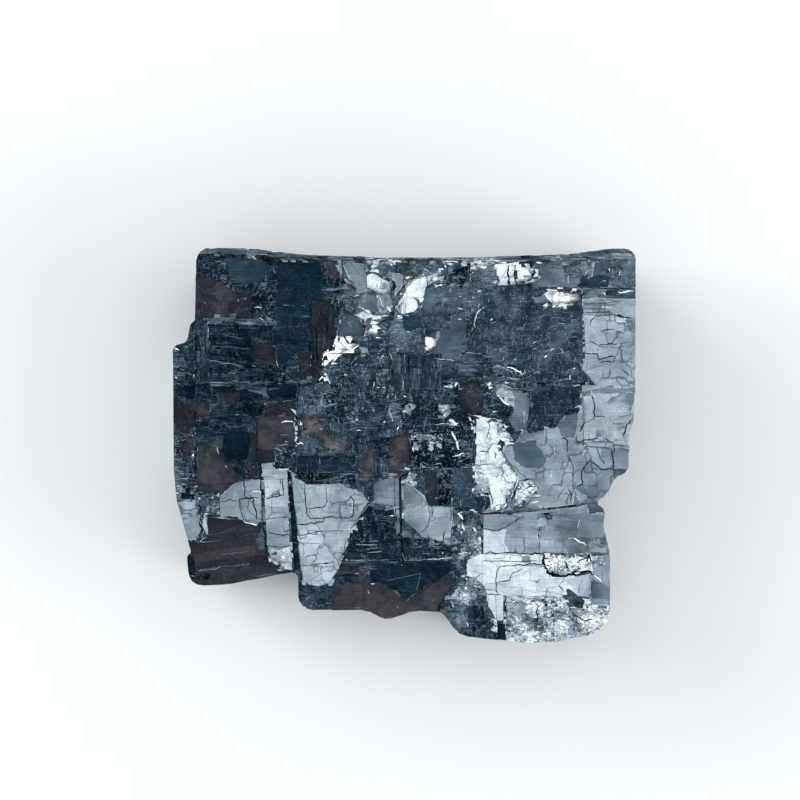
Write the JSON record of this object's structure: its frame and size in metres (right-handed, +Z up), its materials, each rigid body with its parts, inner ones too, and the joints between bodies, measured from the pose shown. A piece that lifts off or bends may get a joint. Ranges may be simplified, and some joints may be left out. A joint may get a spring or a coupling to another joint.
{
  "type": "galena specimen",
  "caption": "Block of galena: a blue-grey metallic mineral lump with stepped, square cleavage terraces, open clefts and bright fresh faces, lying on a flat back.",
  "frame": {"origin": "centre of the block's bounding box in plan, on the flat face that it lies on", "axes": "+Z up, out of the broad cleavage face; +X along the block's longest side, to the right when that face is seen from above; +Y away, to its straight far edge"},
  "size_m": [0.0604, 0.0516, 0.027],
  "materials": {
    "galena": "bright metallic on fresh cleavage, dull slate grey and brown-stained on old faces"
  },
  "bodies": {
    "root": {"galena": "galena"}
  },
  "joints": []
}
